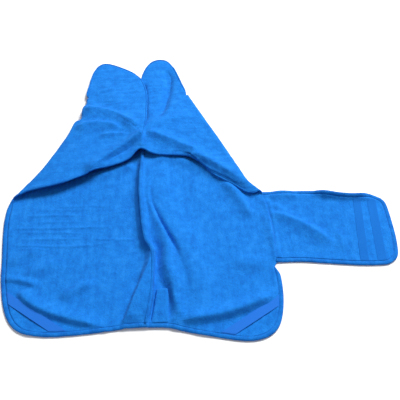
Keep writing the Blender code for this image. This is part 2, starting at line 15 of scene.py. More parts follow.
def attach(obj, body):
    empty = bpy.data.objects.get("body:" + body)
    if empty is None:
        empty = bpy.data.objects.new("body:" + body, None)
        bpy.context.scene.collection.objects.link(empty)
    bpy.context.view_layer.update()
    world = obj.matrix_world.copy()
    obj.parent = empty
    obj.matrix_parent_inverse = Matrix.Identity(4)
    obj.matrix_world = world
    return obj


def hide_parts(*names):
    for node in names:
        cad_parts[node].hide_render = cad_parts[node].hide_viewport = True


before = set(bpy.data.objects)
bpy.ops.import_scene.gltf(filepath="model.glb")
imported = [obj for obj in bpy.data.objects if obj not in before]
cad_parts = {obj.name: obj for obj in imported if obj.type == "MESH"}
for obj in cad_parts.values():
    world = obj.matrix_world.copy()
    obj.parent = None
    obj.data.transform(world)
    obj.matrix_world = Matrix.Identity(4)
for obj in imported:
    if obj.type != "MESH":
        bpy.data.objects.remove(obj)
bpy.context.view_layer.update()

# ---------------------------------------------------------------- camera, light and floor
# The robe lies on white studio paper. One large soft box hangs over the neck end, a second
# fills from the hem side, and the camera looks down at the robe from beyond the hem.
CAMERA_AT = (-0.04407, -0.97173, 1.07676)
CAMERA_WAY = (0.03652745, 0.6417489, -0.76604444)
LENS_MM = 58.95
STUDIO_GLOW = 0.20      # strength of the white light from all round
PAPER_HALF_M = 4        # half the side of the paper
PAPER_WHITE = 0.97

lens = bpy.data.cameras.new("camera")
lens.lens = LENS_MM
lens.sensor_width = 36
camera = bpy.data.objects.new("camera", lens)
camera.location = CAMERA_AT
camera.rotation_euler = Vector(CAMERA_WAY).to_track_quat("-Z", "Y").to_euler()
bpy.context.scene.collection.objects.link(camera)
bpy.context.scene.camera = camera
bpy.context.scene.view_settings.view_transform = "Standard"

SOFT_BOXES = {
    # name: place, aim, side in m, power in W
    "key_light": ((1.52, 2.05, 2.75), (0.0, 0.0, 0.0), 1.8, 226),
    "fill_light": ((-0.90, -1.40, 1.90), (0.0, 0.0, 0.0), 2.0, 10),
}
for name, (place, aim, side, power) in SOFT_BOXES.items():
    lamp = bpy.data.lights.new(name, "AREA")
    lamp.size = side
    lamp.energy = power
    holder = bpy.data.objects.new(name, lamp)
    holder.location = place
    holder.rotation_euler = (Vector(aim) - Vector(place)).to_track_quat("-Z", "Y").to_euler()
    bpy.context.scene.collection.objects.link(holder)

world = bpy.data.worlds.new("studio")
world.use_nodes = True
world.node_tree.nodes["Background"].inputs["Color"].default_value = (1, 1, 1, 1)
world.node_tree.nodes["Background"].inputs["Strength"].default_value = STUDIO_GLOW
bpy.context.scene.world = world

paper = bmesh.new()
bmesh.ops.create_grid(paper, x_segments=1, y_segments=1, size=PAPER_HALF_M)
floor_mesh = bpy.data.meshes.new("floor")
paper.to_mesh(floor_mesh)
paper.free()
floor = bpy.data.objects.new("floor", floor_mesh)
bpy.context.scene.collection.objects.link(floor)
white = bpy.data.materials.new("white_studio_paper")
white.use_nodes = True
shader = white.node_tree.nodes["Principled BSDF"]
shader.inputs["Base Color"].default_value = (PAPER_WHITE, PAPER_WHITE, PAPER_WHITE, 1)
shader.inputs["Roughness"].default_value = 0.9
floor_mesh.materials.append(white)

# ---------------------------------------------------------------- the two halves
# Each half is short-pile microfibre towelling, 2.5 mm thick: a back panel, and a chest wing
# sewn to its side that turns up round the side fold, lies over the back and ends in a
# rounded collar tab. The wings meet at the centre front, above the mouth.
MM = 0.001
HEM_CENTRE = (-116.07, -369.16)   # where the tables' x and y begin, mm in the CAD frame
CLOTH = 2.5
BINDING = 9.3                     # width of the binding at hem, sides and belt
NARROW_BINDING = 4.6              # what shows of it at chest edges and collar tabs
NAPE = 648.0                      # where the back panels end, under the collar tabs
PLAIN_FROM, PLAIN_OVER = 470, 40  # y where the back turns plain under the wings, and over how far
HEM_FELT = 160                    # how far up the back the curve of the hem is felt
SWELL, SWELL_REACH = 1.1, 12      # the cloth's swelling beside its bindings: height and reach

# centre back seam: y, x
SEAM = [(-12, 5), (11, 7), (30, 11), (53, 15), (87, 19), (130, 21), (160, 21),
        (172, 18), (187, 8), (231, 2), (272, -1), (323, -4), (368, -3), (424, 1), (450, 0),
        (660, 0)]
# outer side of the hem binding: x, y
HEM = [(-198, -9), (-179, -12), (-157, -13), (-125, -12), (-92, -10), (-59, -7), (-30, -4),
       (0, -4), (29, -5), (51, -7), (73, -14), (105, -23), (127, -28), (148, -33),
       (170, -38), (190, -41), (206, -41)]
# outer side of the binding from the hem to the foot of the side fold: x, y
EDGE = {
    "left": [(-198, -9), (-215, -5), (-232, 4), (-246, 19), (-256, 38), (-264, 62),
             (-270, 90), (-275, 120), (-279, 165), (-284, 214), (-287, 258), (-286, 290)],
    "right": [(206, -41), (221, -38), (236, -31), (249, -19), (258, -2), (264, 19),
              (268, 42), (270, 66), (270, 91), (268.6, 116.5)],
}
# the right side above that is sewn to the belt: x, y
BELT_SEAM = [(268, 130), (268, 160), (269, 201), (267, 240), (264, 272)]
# outermost line of the side fold, foot to nape: x, y, radius of the turn, slip along the fold
FOLD = {
    "left": [(-281, 305, 6.0, 34), (-259, 338, 7.0, 26), (-237, 369, 8.0, 14),
             (-215, 405, 8.5, 5), (-192, 453, 8.5, 0), (-170, 504, 8.5, 0),
             (-161, 534, 8.5, 0), (-155, 545, 8.5, 0), (-146, 549, 8.2, 0),
             (-143, 557, 8.0, 0), (-143, 584, 7.5, 0), (-141, 596, 7.0, 0),
             (-135, 607, 6.0, 0), (-134, 628, 5.0, 0)],
    "right": [(262, 303, 4.5, 14), (243, 323, 5.0, 8), (228, 341, 6.0, 4),
              (210, 387, 7.0, 0), (187, 444, 8.0, 0), (164, 500, 8.5, 0),
              (139, 561, 7.5, 0), (113, 628, 5.0, 0)],
}
# outer side of the chest edge's binding, from the mouth outwards: x, y, z
CHEST = {
    "left": [(-0.4, 436, 26), (-5, 435, 26), (-12, 429, 24.5), (-19, 420, 22),
             (-27, 412, 19.5), (-40, 405, 18), (-64, 394, 18.5), (-91, 383.5, 20),
             (-117, 370, 21.5), (-144, 357, 22.5), (-169, 345, 23), (-196, 338, 22),
             (-220, 334, 20), (-240, 331, 17)],
    "right": [(0.4, 436, 25.5), (6, 434, 24.5), (16, 429, 21), (30, 425, 17.5),
              (52, 422.5, 15.5), (74, 422, 14), (92, 420.5, 12), (107, 413, 11),
              (122, 400, 10.5), (138, 381, 10), (156, 361, 10), (180, 342, 9.5),
              (201, 326, 9), (221, 309, 9), (238, 303, 10)],
}
# where the wings meet at the centre front, mouth and upper end: x, y, z
FRONT = {
    "left": [(1.0, 441, 26), (2.6, 488, 30)],
    "right": [(-1.0, 441, 26), (-2.6, 488, 29.6)],
}
# outer side of the collar tab's binding: x, y, z
LOBE_OUTER = {
    "left": [(-137, 640, 10), (-136, 660, 8.5), (-133, 682, 6.5), (-130, 707, 5)],
    "right": [(109, 642, 10.5), (101, 670, 9), (93, 702, 7.5), (84, 735, 6)],
}
LOBE_TIP = {
    "left": [(-10, 711, 8.5), (-24, 727, 7.5), (-52, 749, 5.5), (-81, 767, 3.5),
             (-99, 770, 2.8), (-114, 760, 2.8), (-125, 736, 3.2)],
    "right": [(1, 726, 2.8), (10, 751, 2.8), (24, 771, 2.8), (41, 779, 2.8),
              (57, 777, 2.8), (68, 768, 3.2), (76, 754, 4)],
}
LOBE_INNER = {
    "left": [(12, 526, 28), (13, 560, 23), (14, 600, 19), (13, 634, 16.5), (6, 674, 12.5),
             (-2, 696, 10.5)],
    "right": [(-9, 526, 18), (-8, 560, 13), (-7, 600, 10), (-7, 640, 8), (-6, 680, 5),
              (-3, 704, 3.2)],
}
# creases listed one by one, troughs with a height below 0
# start x, y; middle x, y; end x, y; height; reach left and right of its line; fade; crispness
BACK_FOLDS = [
    (-236, 92, -186, 42, -62, 0, 8.5, 18, 6.0, 0.16, 1.8),
    (-270, 113, -238, 112, -188, 92, 5, 9, 6, 0.30, 1.8),
    (-256, 142, -238, 170, -196, 186, 4.5, 14, 8, 0.30, 1.8),
    (-236, 120, -198, 140, -150, 160, 4, 9, 14, 0.35, 2.0),
    (-156, 62, -126, 84, -84, 106, 6.5, 12, 9, 0.30, 1.8),
    (56, 7, 162, 18, 264, 60, 12, 18, 8, 0.22, 1.8),
    (168, 350, 209, 296, 226, 236, 8.5, 10, 15, 0.25, 1.8),
    (252, 262, 259, 214, 262, 160, 3.5, 8, 8, 0.30, 2.0),
    (205, 330, 228, 318, 250, 290, 4, 9, 8, 0.30, 1.8),
    (170, 150, 214, 130, 262, 138, 4, 16, 16, 0.35, 2.0),
    (20, 418, 110, 405, 235, 300, 6, 14, 16, 0.20, 2.0),
    (-16, 410, -60, 392, -120, 366, 6, 14, 16, 0.20, 2.0),
]
# the cloth swells on both sides of the belt's seam, which is pulled down into a groove
BELT_JOIN = [
    (263, 126, 264.5, 206, 258, 296, 2.4, 3.2, 6, 0.10, 2.0),
    (267.5, 126, 269, 206, 264, 290, -1.2, 2.0, 2.0, 0.05, 2.0),
    (273, 126, 274, 206, 269, 296, 2.4, 6, 3.2, 0.10, 2.0),
]
# fine wrinkles across the left back panel, in the same columns
FINE_FOLDS = [
    (-190, 295, -124, 293, -56, 291, 0.8, 2.8, 2.0, 0.20, 2.0),
    (-222, 288, -161, 285, -92, 284, 0.8, 2.8, 2.0, 0.20, 2.0),
    (-252, 271, -193, 272, -106, 267, 1.2, 3.0, 2.0, 0.25, 2.0),
    (-106, 268, -60, 272, -18, 280, 0.9, 2.8, 2.0, 0.20, 2.0),
    (-232, 255, -171, 253, -112, 251, 1.0, 2.8, 2.0, 0.25, 2.0),
    (-270, 241, -186, 238, -38, 234, 1.3, 3.0, 2.1, 0.20, 2.0),
    (-262, 229, -194, 227, -118, 221, 1.1, 2.8, 2.0, 0.25, 2.0),
    (-274, 220, -256, 218, -224, 219, -1.4, 2.4, 2.4, 0.30, 2.0),
    (-246, 212, -184, 210, -104, 207, 1.2, 2.8, 2.0, 0.25, 2.0),
    (-100, 206, -60, 202, -10, 199, 1.2, 2.8, 2.0, 0.15, 2.0),
    (-266, 199, -166, 190, -92, 191, 1.5, 3.0, 2.1, 0.15, 2.0),
    (-94, 191, -70, 194, -42, 202, 1.1, 2.6, 2.0, 0.20, 2.0),
    (-250, 188, -222, 186, -186, 184, 0.9, 2.6, 2.0, 0.25, 2.0),
]
# The pleats at the hem centre, as sections across the back. Each row: y; left foot x; then
# x and height of the dip beside the seam or flap, the flap's folded edge, its right side,
# the hollow's left and right side, the next ridge, the trough beyond it and that trough's
# far side; right foot x
PLEATS = [
    (470, -30, -20, 0, -2, 0, 3, 0, 6, 0, 10, 0, 16, 0, 22, 0, 30, 0, 60),
    (430, -30, -22, 0, 0, 9.0, 4, 8.5, 8, 7.5, 11, 7.0, 17, 6.5, 23, 6.0, 31, 5.5, 70),
    (368, -32, -24, 0, -3, 13.0, 2, 12.5, 6, 10.5, 12, 10.0, 18, 9.5, 24, 9.0, 34, 8.5, 85),
    (323, -37, -29, 0, -4, 15.0, 1, 14.5, 5, 12.0, 9, 11.5, 13, 12.0, 18, 9.5, 30, 10.5, 95),
    (290, -36, -28, 0, -3, 15.5, 3, 15.0, 7, 12.0, 9, 11.5, 14, 12.5, 21, 7.5, 32, 11.0, 105),
    (250, -34, -26, 0, 0, 15.5, 6, 14.5, 12, 9.5, 15, 9.0, 28, 13.0, 35, 5.0, 45, 11.5, 120),
    (215, -31, -22, 0, 4, 15.5, 9, 14.0, 16, 7.0, 19, 6.5, 43, 14.0, 49, 3.0, 60, 11.5, 140),
    (190, -28, -18, 0, 7, 15.5, 13, 13.5, 19, 3.5, 22, 3.5, 50, 14.5, 60, 2.5, 71, 12.0, 148),
    (168, -18, -9, 0, 18, 14.5, 24, 13.0, 27, 1.0, 30, 1.0, 51, 15.0, 68, 5.5, 81, 12.0, 152),
    (145, -18, -9, 0, 16, 14.0, 24, 13.0, 26, 0.6, 28, 0.6, 50, 15.5, 76, 7.5, 89, 11.5, 155),
    (125, -21, -13, 0, 10, 14.0, 22, 13.0, 24, 0.6, 27, 0.6, 50, 15.5, 81, 8.0, 94, 11.0, 157),
    (98, -21, -12, 0, 0, 15.5, 20, 13.5, 23, 0.6, 30, 0.6, 58, 15.0, 88, 7.5, 101, 9.5, 158),
    (80, -27, -18, 0, -7, 16.0, 19, 13.0, 22, 0.6, 42, 0.6, 63, 14.0, 91, 6.5, 104, 8.0, 158),
    (62, -33, -24, 0, -14, 15.5, 18, 12.5, 21, 0.6, 50.5, 0.6, 60, 13.0, 91, 4.5, 108, 6.0, 158),
    (42, -39, -30.5, 0, -21, 14.0, 15, 11.0, 18, 0.6, 50.5, 0.6, 65, 12.0, 90, 3.5, 112, 4.5, 158),
    (20, -46, -37.5, 0, -29, 10.5, 11, 8.5, 14, 0.8, 49, 0.6, 69, 8.0, 84, 1.0, 115, 1.0, 150),
    (6, -56, -48, 0.6, -35, 3.5, 9, 4.0, 12, 2.0, 49, 2.0, 60, 4.0, 80, 2.0, 110, 2.0, 140),
    (-12, -56, -48, 0.4, -35, 1.0, 9, 1.0, 12, 1.0, 49, 1.0, 60, 1.0, 80, 1.0, 110, 1.0, 140),
]
WING_FOLDS = {
    "left": [
        (8, 485, -51, 438, -127, 369, 11, 9, 15, 0.12, 1.4),
        (-8, 462, -46, 430, -108, 390, -5, 6, 8, 0.28, 1.6),
        (2, 484, 1, 462, 0, 440, 3, 7, 7, 0.25, 1.6),
        (-104, 482, -62, 487, -26, 481, 4, 5, 12, 0.30, 1.6),
        (-162, 512, -100, 525, -44, 500, 8, 8, 20, 0.22, 1.5),
        (-146, 586, -72, 562, 2, 496, 9, 9, 19, 0.18, 1.5),
        (-118, 700, -70, 640, -30, 560, 3, 26, 26, 0.40, 2.0),
        (-112, 652, -84, 650, -60, 648, 1.3, 3.0, 2.4, 0.25, 2.0),
        (-74, 640, -50, 641, -14, 646, 1.3, 3.0, 2.4, 0.20, 2.0),
        (-84, 622, -52, 624, -16, 630, 1.3, 3.0, 2.4, 0.20, 2.0),
        (-106, 610, -78, 608, -46, 610, 1.3, 3.0, 2.4, 0.20, 2.0),
        (-108, 702, -70, 700, -30, 690, 1.2, 3.4, 2.6, 0.25, 2.0),
    ],
    "right": [
        (8, 487, 60, 468, 134, 420, 8.5, 14, 14, 0.16, 1.5),
        (2, 484, 1, 462, 0, 440, 3, 7, 7, 0.25, 1.6),
        (88, 434, 160, 388, 244, 306, 11, 18, 12, 0.32, 1.7),
        (61, 738, 65, 645, 35, 526, -9, 9, 11, 0.20, 1.8),
        (5, 690, 9, 610, 8, 525, -6, 5, 5, 0.20, 1.8),
        (8, 500, 60, 530, 128, 560, 4, 14, 14, 0.35, 2.0),
    ],
}


def along(rows, places):
    """Points of a smooth line through the rows, at the given shares of its length."""
    pts = np.array(rows, float)
    pad = np.vstack([2 * pts[0] - pts[1], pts, 2 * pts[-1] - pts[-2]])
    t = np.linspace(0, 1, 24, endpoint=False)[:, None]
    spans = []
    for p0, p1, p2, p3 in zip(pad, pad[1:], pad[2:], pad[3:]):
        bend = (2 * p0 - 5 * p1 + 4 * p2 - p3) * t ** 2
        turn = (3 * p1 - p0 - 3 * p2 + p3) * t ** 3
        spans.append(0.5 * (2 * p1 + (p2 - p0) * t + bend + turn))
    fine = np.vstack(spans + [pts[-1:]])
    steps = np.linalg.norm(np.diff(fine[:, :2], axis=0), axis=1)
    run = np.concatenate([[0], np.cumsum(steps)]) / steps.sum()
    return np.column_stack([np.interp(places, run, column) for column in fine.T])


def inset(rows, distance):
    """The rows moved sideways in plan, to the left of their direction."""
    pts = np.array(rows, float)
    way = np.gradient(pts[:, :2], axis=0)
    way /= np.linalg.norm(way, axis=1)[:, None]
    pts[:, 0] -= way[:, 1] * distance
    pts[:, 1] += way[:, 0] * distance
    return pts


def smoothed(rows, times):
    """Rows averaged with their neighbours along a line, the ends kept."""
    rows = rows.copy()
    for _ in range(times):
        rows[1:-1] = (rows[:-2] + 2 * rows[1:-1] + rows[2:]) / 4
    return rows


CREASE_STEPS = 80     # points along the line of a crease
CREASE_TAIL = 12      # mm in which it dies out beyond its ends


def creased(points, creases):
    """Sum of the ridges and troughs of a table of creases at an array of points."""
    flat = points.reshape(-1, points.shape[-1])[:, :2]
    total = np.zeros(len(flat))
    for x0, y0, x1, y1, x2, y2, height, left, right, fade, crisp in creases:
        start, middle, end = np.array([[x0, y0], [x1, y1], [x2, y2]], float)
        pull = 2 * middle - (start + end) / 2
        t = np.linspace(0, 1, CREASE_STEPS + 1)[:, None]
        line = (1 - t) ** 2 * start + 2 * t * (1 - t) * pull + t ** 2 * end
        way = np.gradient(line, axis=0)
        way /= np.linalg.norm(way, axis=1)[:, None]
        reach = 3.2 * max(left, right)      # beyond this nothing of it is left
        low, high = line.min(axis=0) - reach, line.max(axis=0) + reach
        close = np.nonzero(((flat > low) & (flat < high)).all(axis=1))[0]
        apart = flat[close, None] - line[None]
        near = np.argmin((apart ** 2).sum(axis=2), axis=1)
        off = apart[np.arange(len(close)), near]
        side = way[near, 0] * off[:, 1] - way[near, 1] * off[:, 0]
        over = np.abs((off * way[near]).sum(axis=1))
        ends = np.clip(np.minimum(near, CREASE_STEPS - near) / CREASE_STEPS / fade, 0, 1)
        ends = ends * ends * (3 - 2 * ends)
        width = np.where(side > 0, left, right)
        shape = np.exp(-np.abs(side / width) ** crisp) * np.exp(-(over / CREASE_TAIL) ** 2)
        total[close] += height * ends * shape
    return total.reshape(points.shape[:-1])


def pleated(points):
    """Height of the pleats at an array of points, rounded between the sections' lines."""
    table = np.array(PLEATS, float)[::-1]
    feet = np.zeros(len(table))
    table = np.column_stack([table[:, :2], feet, table[:, 2:], feet])
    x, y = points[..., 0], points[..., 1]
    columns = [np.interp(y, table[:, 0], column) for column in table.T[1:]]
    height = np.zeros(x.shape)
    spans = zip(columns[0:-2:2], columns[1::2], columns[2::2], columns[3::2])
    for k, (x0, z0, x1, z1) in enumerate(spans):
        t = np.clip((x - x0) / (x1 - x0), 0, 1)
        if k == 1:        # a soft slope, steeper towards the crisp folded edge
            t = 0.4 * t ** 1.5 + 0.6 * np.clip(2 * t - 1, 0, 1) ** 1.2
        elif k == 7:      # rises at once out of the narrow trough
            t = 1 - (1 - t) ** 2
        else:
            t = t * t * (3 - 2 * t)
        height += (z1 - z0) * t
    return height


def spanned(low, high, first, last, a):
    """Points spanning four border lines: low and high by column, first and last by row."""
    a = a[None, :, None]
    rise = np.linalg.norm(np.diff(last[:, :2], axis=0), axis=1)
    b = np.concatenate([[0], np.cumsum(rise)])
    b = (b / b[-1])[:, None, None]
    rows = (1 - b) * low[None] + b * high[None]
    columns = (1 - a) * first[:, None] + a * last[:, None]
    corners = ((1 - a) * (1 - b) * low[0] + a * (1 - b) * low[-1]
               + (1 - a) * b * high[0] + a * b * high[-1])
    return rows + columns - corners


# cells of each part of a half: side edge, side fold, back, turn, wing and collar tab. Powers
# of the shares below set them closer at the seam and the centre front.
EDGE_CELLS = 170
FOLD_CELLS = 126
BACK_CELLS = 96
TURN_CELLS = 10
WING_CELLS = 78
LOBE_CELLS = 50


def side_line(side):
    """The outer border of a back panel from the hem to the nape, and its side fold."""
    sign = -1 if side == "left" else 1
    border = inset(EDGE[side], sign * BINDING)
    fold = along(FOLD[side], np.linspace(0, 1, FOLD_CELLS + 1))
    way = smoothed(np.gradient(fold[:, :2], axis=0), 40)
    way /= np.linalg.norm(way, axis=1)[:, None]
    outward = np.column_stack([way[:, 1], -way[:, 0]]) * sign
    root = fold[:, :2] - outward * fold[:, 2:3]
    if side == "left":
        edge = along(np.vstack([border, root[:1]]), np.linspace(0, 1, EDGE_CELLS + 1))
    else:
        bound = EDGE_CELLS * 3 // 5
        lower = along(border, np.linspace(0, 1, bound))
        upper = along(BELT_SEAM + [tuple(root[0])], np.linspace(0, 1, EDGE_CELLS + 1 - bound))
        edge = np.vstack([lower, upper])
    return np.vstack([edge, root[1:]]), fold, way, outward


def half_grids(side):
    """The middle of the cloth of one half: back panel, turn with wing, collar tab."""
    sign = -1 if side == "left" else 1
    outer, fold, way, outward = side_line(side)
    foot = EDGE_CELLS
    seam_y = (side_line("left")[0][:, 1] + side_line("right")[0][:, 1]) / 2
    seam_y = BINDING + (seam_y - seam_y[0]) / (seam_y[-1] - seam_y[0]) * (NAPE - BINDING)

    u = np.linspace(0, 1, BACK_CELLS + 1) ** 1.3
    line = np.array(SEAM, float)
    seam = np.column_stack([np.interp(seam_y, line[:, 0], line[:, 1]), seam_y])
    back = seam[:, None] * (1 - u)[None, :, None] + outer[:, None] * u[None, :, None]
    hem = np.array(HEM, float)
    dip = np.interp(back[0, :, 0], hem[:, 0], hem[:, 1]) + BINDING - back[0, :, 1]
    back[:, :, 1] += (np.clip(1 - (seam_y - BINDING) / HEM_FELT, 0, 1) ** 2)[:, None] * dip[None]
    from_side = np.linalg.norm(back - outer[:, None], axis=2)
    from_side[foot:] += 2 * np.arange(FOLD_CELLS + 1)[:, None]
    near_edge = np.minimum(from_side, back[:, :, 1] - back[0:1, :, 1])
    height = CLOTH / 2 + SWELL * np.exp(-(near_edge / SWELL_REACH) ** 2) + pleated(back)
    height += creased(back, BACK_FOLDS) + creased(back, FINE_FOLDS)
    if side == "right":
        height += creased(back, BELT_JOIN)
    hidden = np.clip((back[:, :, 1] - PLAIN_FROM) / PLAIN_OVER, 0, 1)
    height = height * (1 - hidden) + CLOTH / 2 * hidden
    back = np.dstack([back, height])

    share = np.linspace(0, 1, TURN_CELLS + 1)
    radius, slip = fold[:, 2, None], fold[:, 3, None]
    swing = outward[:, None] * (radius * np.sin(math.pi * share))[:, :, None]
    swing = swing + way[:, None] * (slip * share)[:, :, None]
    plan = back[foot:, -1:, :2] + swing
    rise = back[foot:, -1:, 2] + radius * (1 - np.cos(math.pi * share))
    turn = np.dstack([plan, rise])

    a = np.linspace(0, 1, WING_CELLS + 1)
    ridge = turn[:, -1]
    chest = inset(CHEST[side], sign * NARROW_BINDING)
    low = along(np.vstack([FRONT[side][:1], chest[1:], ridge[:1]]), a ** 1.25)
    shut = np.array(FRONT[side][1], float)
    reach = (a ** 0.85)[:, None]
    high = shut[None] * (1 - reach) + ridge[-1][None] * reach
    length = np.linalg.norm(np.diff(ridge[:, :2], axis=0), axis=1)
    b = np.concatenate([[0], np.cumsum(length)])
    b = (b / b[-1])[:, None]
    front = np.array(FRONT[side][0], float)[None] * (1 - b) + shut[None] * b
    wing = spanned(low, high, front, ridge, a)

    places = np.linspace(0, 1, LOBE_CELLS + 1) ** 1.15
    tip = along(inset(LOBE_TIP[side], -sign * NARROW_BINDING), a ** 0.95)
    lobe_outer = inset(LOBE_OUTER[side], sign * NARROW_BINDING)
    lobe_inner = inset(LOBE_INNER[side], -sign * NARROW_BINDING)
    first = along(np.vstack([shut[None], lobe_inner, tip[:1]]), places)
    last = along(np.vstack([ridge[-1:], lobe_outer, tip[-1:]]), places)
    lobe = spanned(high, tip, first, last, a)

    wing[:, :, 2] += creased(wing, WING_FOLDS[side])
    lobe[:, :, 2] += creased(lobe, WING_FOLDS[side])
    turn[:, :, 2] += (wing[:, -1:, 2] - turn[:, -1:, 2]) * share ** 2
    over = np.concatenate([turn, wing[:, ::-1][:, 1:]], axis=1)
    return {"back": back, "over": over, "lobe": lobe[:, ::-1], "foot": foot}


def to_frame(points):
    """Points of the tables, in mm, as vectors in metres in the frame of the CAD nodes."""
    moved = (points.reshape(-1, 3) + np.array([*HEM_CENTRE, 0.0])) * MM
    return [Vector(p) for p in moved.tolist()]


LUMPS = [(0.45, 70), (0.30, 160)]     # unevenness of the pile: height in mm, lumps per metre


def cloth_piece(name, grids, turned, wall):
    """A sheet of cloth from grids of points (points, share of upper side), welded where
    they meet, with small lumps of pile and a wall of even thickness."""
    bm = bmesh.new()
    upper = bm.verts.layers.float.new("upper")
    for points, share in grids:
        rows, columns = points.shape[:2]
        made = bmesh.ops.create_grid(bm, x_segments=columns - 1, y_segments=rows - 1, size=0.5)
        for vert, place in zip(made["verts"], to_frame(points)):
            vert.co = place
            vert[upper] = share
    bmesh.ops.remove_doubles(bm, verts=bm.verts, dist=0.00002)
    if turned:
        bmesh.ops.reverse_faces(bm, faces=bm.faces)
    bm.normal_update()
    for vert in bm.verts:
        lump = sum(height * noise.noise(vert.co * pitch) for height, pitch in LUMPS)
        vert.co += vert.normal * lump * MM
        vert.co.z = max(vert.co.z, wall * MM / 2)
    mesh = bpy.data.meshes.new(name)
    bm.to_mesh(mesh)
    bm.free()
    mesh.shade_smooth()
    piece = bpy.data.objects.new(name, mesh)
    bpy.context.scene.collection.objects.link(piece)
    thick = piece.modifiers.new("wall", "SOLIDIFY")
    thick.thickness = wall * MM
    thick.offset = 0
    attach(piece, "root")
    return piece


def linear(colour):
    """A hex sRGB colour as linear RGBA."""
    parts = [int(colour[i:i + 2], 16) / 255 for i in (1, 3, 5)]
    return [p / 12.92 if p <= 0.04045 else ((p + 0.055) / 1.055) ** 2.4 for p in parts] + [1]


def add_node(tree, kind, inputs=None, **settings):
    """A node with its settings, and its inputs set to values or linked to sockets."""
    made = tree.nodes.new(kind)
    for name, value in settings.items():
        setattr(made, name, value)
    for name, value in (inputs or {}).items():
        if isinstance(value, bpy.types.NodeSocket):
            tree.links.new(value, made.inputs[name])
        else:
            made.inputs[name].default_value = value
    return made


# Microfibre towelling, woven with short loops on both faces and dyed one blue. The eye gets a
# matt, slightly clouded surface streaked along the nap, which runs with the length of the back
# and across the wings. Shade is painted into the colour in the hollows between the tufts of
# loops, so the loops that stand up read lighter.
TOWEL_DARK = "#156bc5"
TOWEL_MID = "#1876d2"
TOWEL_LIGHT = "#2080dc"
TUFT_MM = 2.4            # tufts of loops, drawn about twice their size so that they show
CLOUD_MM = 16            # brushed patches
STREAK_MM = (8, 50)      # width and length of the nap's streaks
FLUFF_MM = 1.1           # single loops and fibres


def towelling_material(name, dark, mid, light):
    """Clouded and streaked pile with tufts in its bump, and painted shade in the hollows between
    the tufts.
    """
    made = bpy.data.materials.new(name)
    made.use_nodes = True
    tree = made.node_tree
    shader = tree.nodes["Principled BSDF"]
    where = add_node(tree, "ShaderNodeTexCoord").outputs["Object"]
    upper = add_node(tree, "ShaderNodeAttribute", attribute_name="upper").outputs["Fac"]
    cloud = add_node(tree, "ShaderNodeTexNoise", {"Vector": where, "Scale": 1000 / CLOUD_MM,
                     "Detail": 4.0, "Roughness": 0.62}).outputs["Fac"]
    fine, coarse = 1000 / STREAK_MM[0], 1000 / STREAK_MM[1]
    streaks = []
    for scale in ((fine, coarse, fine), (coarse, fine, fine)):
        laid = add_node(tree, "ShaderNodeMapping", {"Vector": where, "Scale": scale})
        streak = add_node(tree, "ShaderNodeTexNoise", {"Vector": laid.outputs["Vector"],
                          "Scale": 1.0, "Detail": 3.0, "Roughness": 0.6})
        streaks.append(streak.outputs["Fac"])
    nap = add_node(tree, "ShaderNodeMix", {"Factor": upper, "A": streaks[0], "B": streaks[1]},
                   data_type="FLOAT").outputs["Result"]
    both = add_node(tree, "ShaderNodeMix", {"Factor": 0.38, "A": cloud, "B": nap},
                    data_type="FLOAT").outputs["Result"]
    ramp = add_node(tree, "ShaderNodeValToRGB", {"Fac": both})
    ramp.color_ramp.elements[0].position = 0.36
    ramp.color_ramp.elements[0].color = linear(dark)
    ramp.color_ramp.elements[1].position = 0.64
    ramp.color_ramp.elements[1].color = linear(light)
    ramp.color_ramp.elements.new(0.5).color = linear(mid)
    tufts = add_node(tree, "ShaderNodeTexVoronoi", {"Vector": where, "Scale": 1000 / TUFT_MM,
                     "Randomness": 1.0}, feature="SMOOTH_F1").outputs["Distance"]
    # painted shade: the colour darkens from the middle of each tuft out to the hollows between
    # tufts
    tuft_painted_shade = add_node(tree, "ShaderNodeMapRange", {"Value": tufts, "From Min": 0.15,
                     "From Max": 0.75, "To Min": 1.05, "To Max": 0.86}).outputs["Result"]
    colour = add_node(tree, "ShaderNodeMix", {"Factor": 1.0, 6: ramp.outputs["Color"], 7: tuft_painted_shade},
                      data_type="RGBA", blend_type="MULTIPLY").outputs[2]
    tree.links.new(colour, shader.inputs["Base Color"])
    fluff = add_node(tree, "ShaderNodeTexNoise", {"Vector": where, "Scale": 1000 / FLUFF_MM,
                     "Detail": 3.0}).outputs["Fac"]
    pile = add_node(tree, "ShaderNodeMath", {0: fluff, 1: tufts}, operation="SUBTRACT")
    relief = add_node(tree, "ShaderNodeMath", {0: nap, 1: 0.8, 2: pile.outputs[0]},
                      operation="MULTIPLY_ADD")
    bump = add_node(tree, "ShaderNodeBump", {"Height": relief.outputs[0], "Strength": 0.42,
                    "Distance": 0.0009})
    tree.links.new(bump.outputs["Normal"], shader.inputs["Normal"])
    shader.inputs["Roughness"].default_value = 0.95
    shader.inputs["Specular IOR Level"].default_value = 0.1
    shader.inputs["Sheen Weight"].default_value = 0.10
    shader.inputs["Sheen Roughness"].default_value = 0.45
    shader.inputs["Sheen Tint"].default_value = linear("#8cc2ff")
    return made


towelling = towelling_material("blue_microfibre_towelling", TOWEL_DARK, TOWEL_MID, TOWEL_LIGHT)
halves = {}
for side in ("left", "right"):
    grids = half_grids(side)
    parts = [(grids["back"], 0.0), (grids["over"], 1.0), (grids["lobe"], 1.0)]
    half = cloth_piece(side + "_half", parts, side == "left", CLOTH)
    half.data.materials.append(towelling)
    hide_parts(side + "_back", side + "_chest_wing")
    halves[side] = (half, grids)

# ---------------------------------------------------------------- edge bindings
# Every free edge is closed with a strip of the same towelling, folded over the edge and sewn
# through near its inner side. It is 9 mm wide at the hem, the sides and the belt, and rolls
# under at the chest edges and the collar tabs, where only half of it shows.
BAND_THICK = 4.4
OVERLAP = 1.2                    # how far a binding reaches in over the cloth
TAPER = 10                       # points in which a binding narrows where another piece covers it
CHEST_CLEAR = 4.5                # how high the right chest binding stays over the back
STITCH_LINE = 0.8                # how far its stitches run outside the cloth's end, and over it
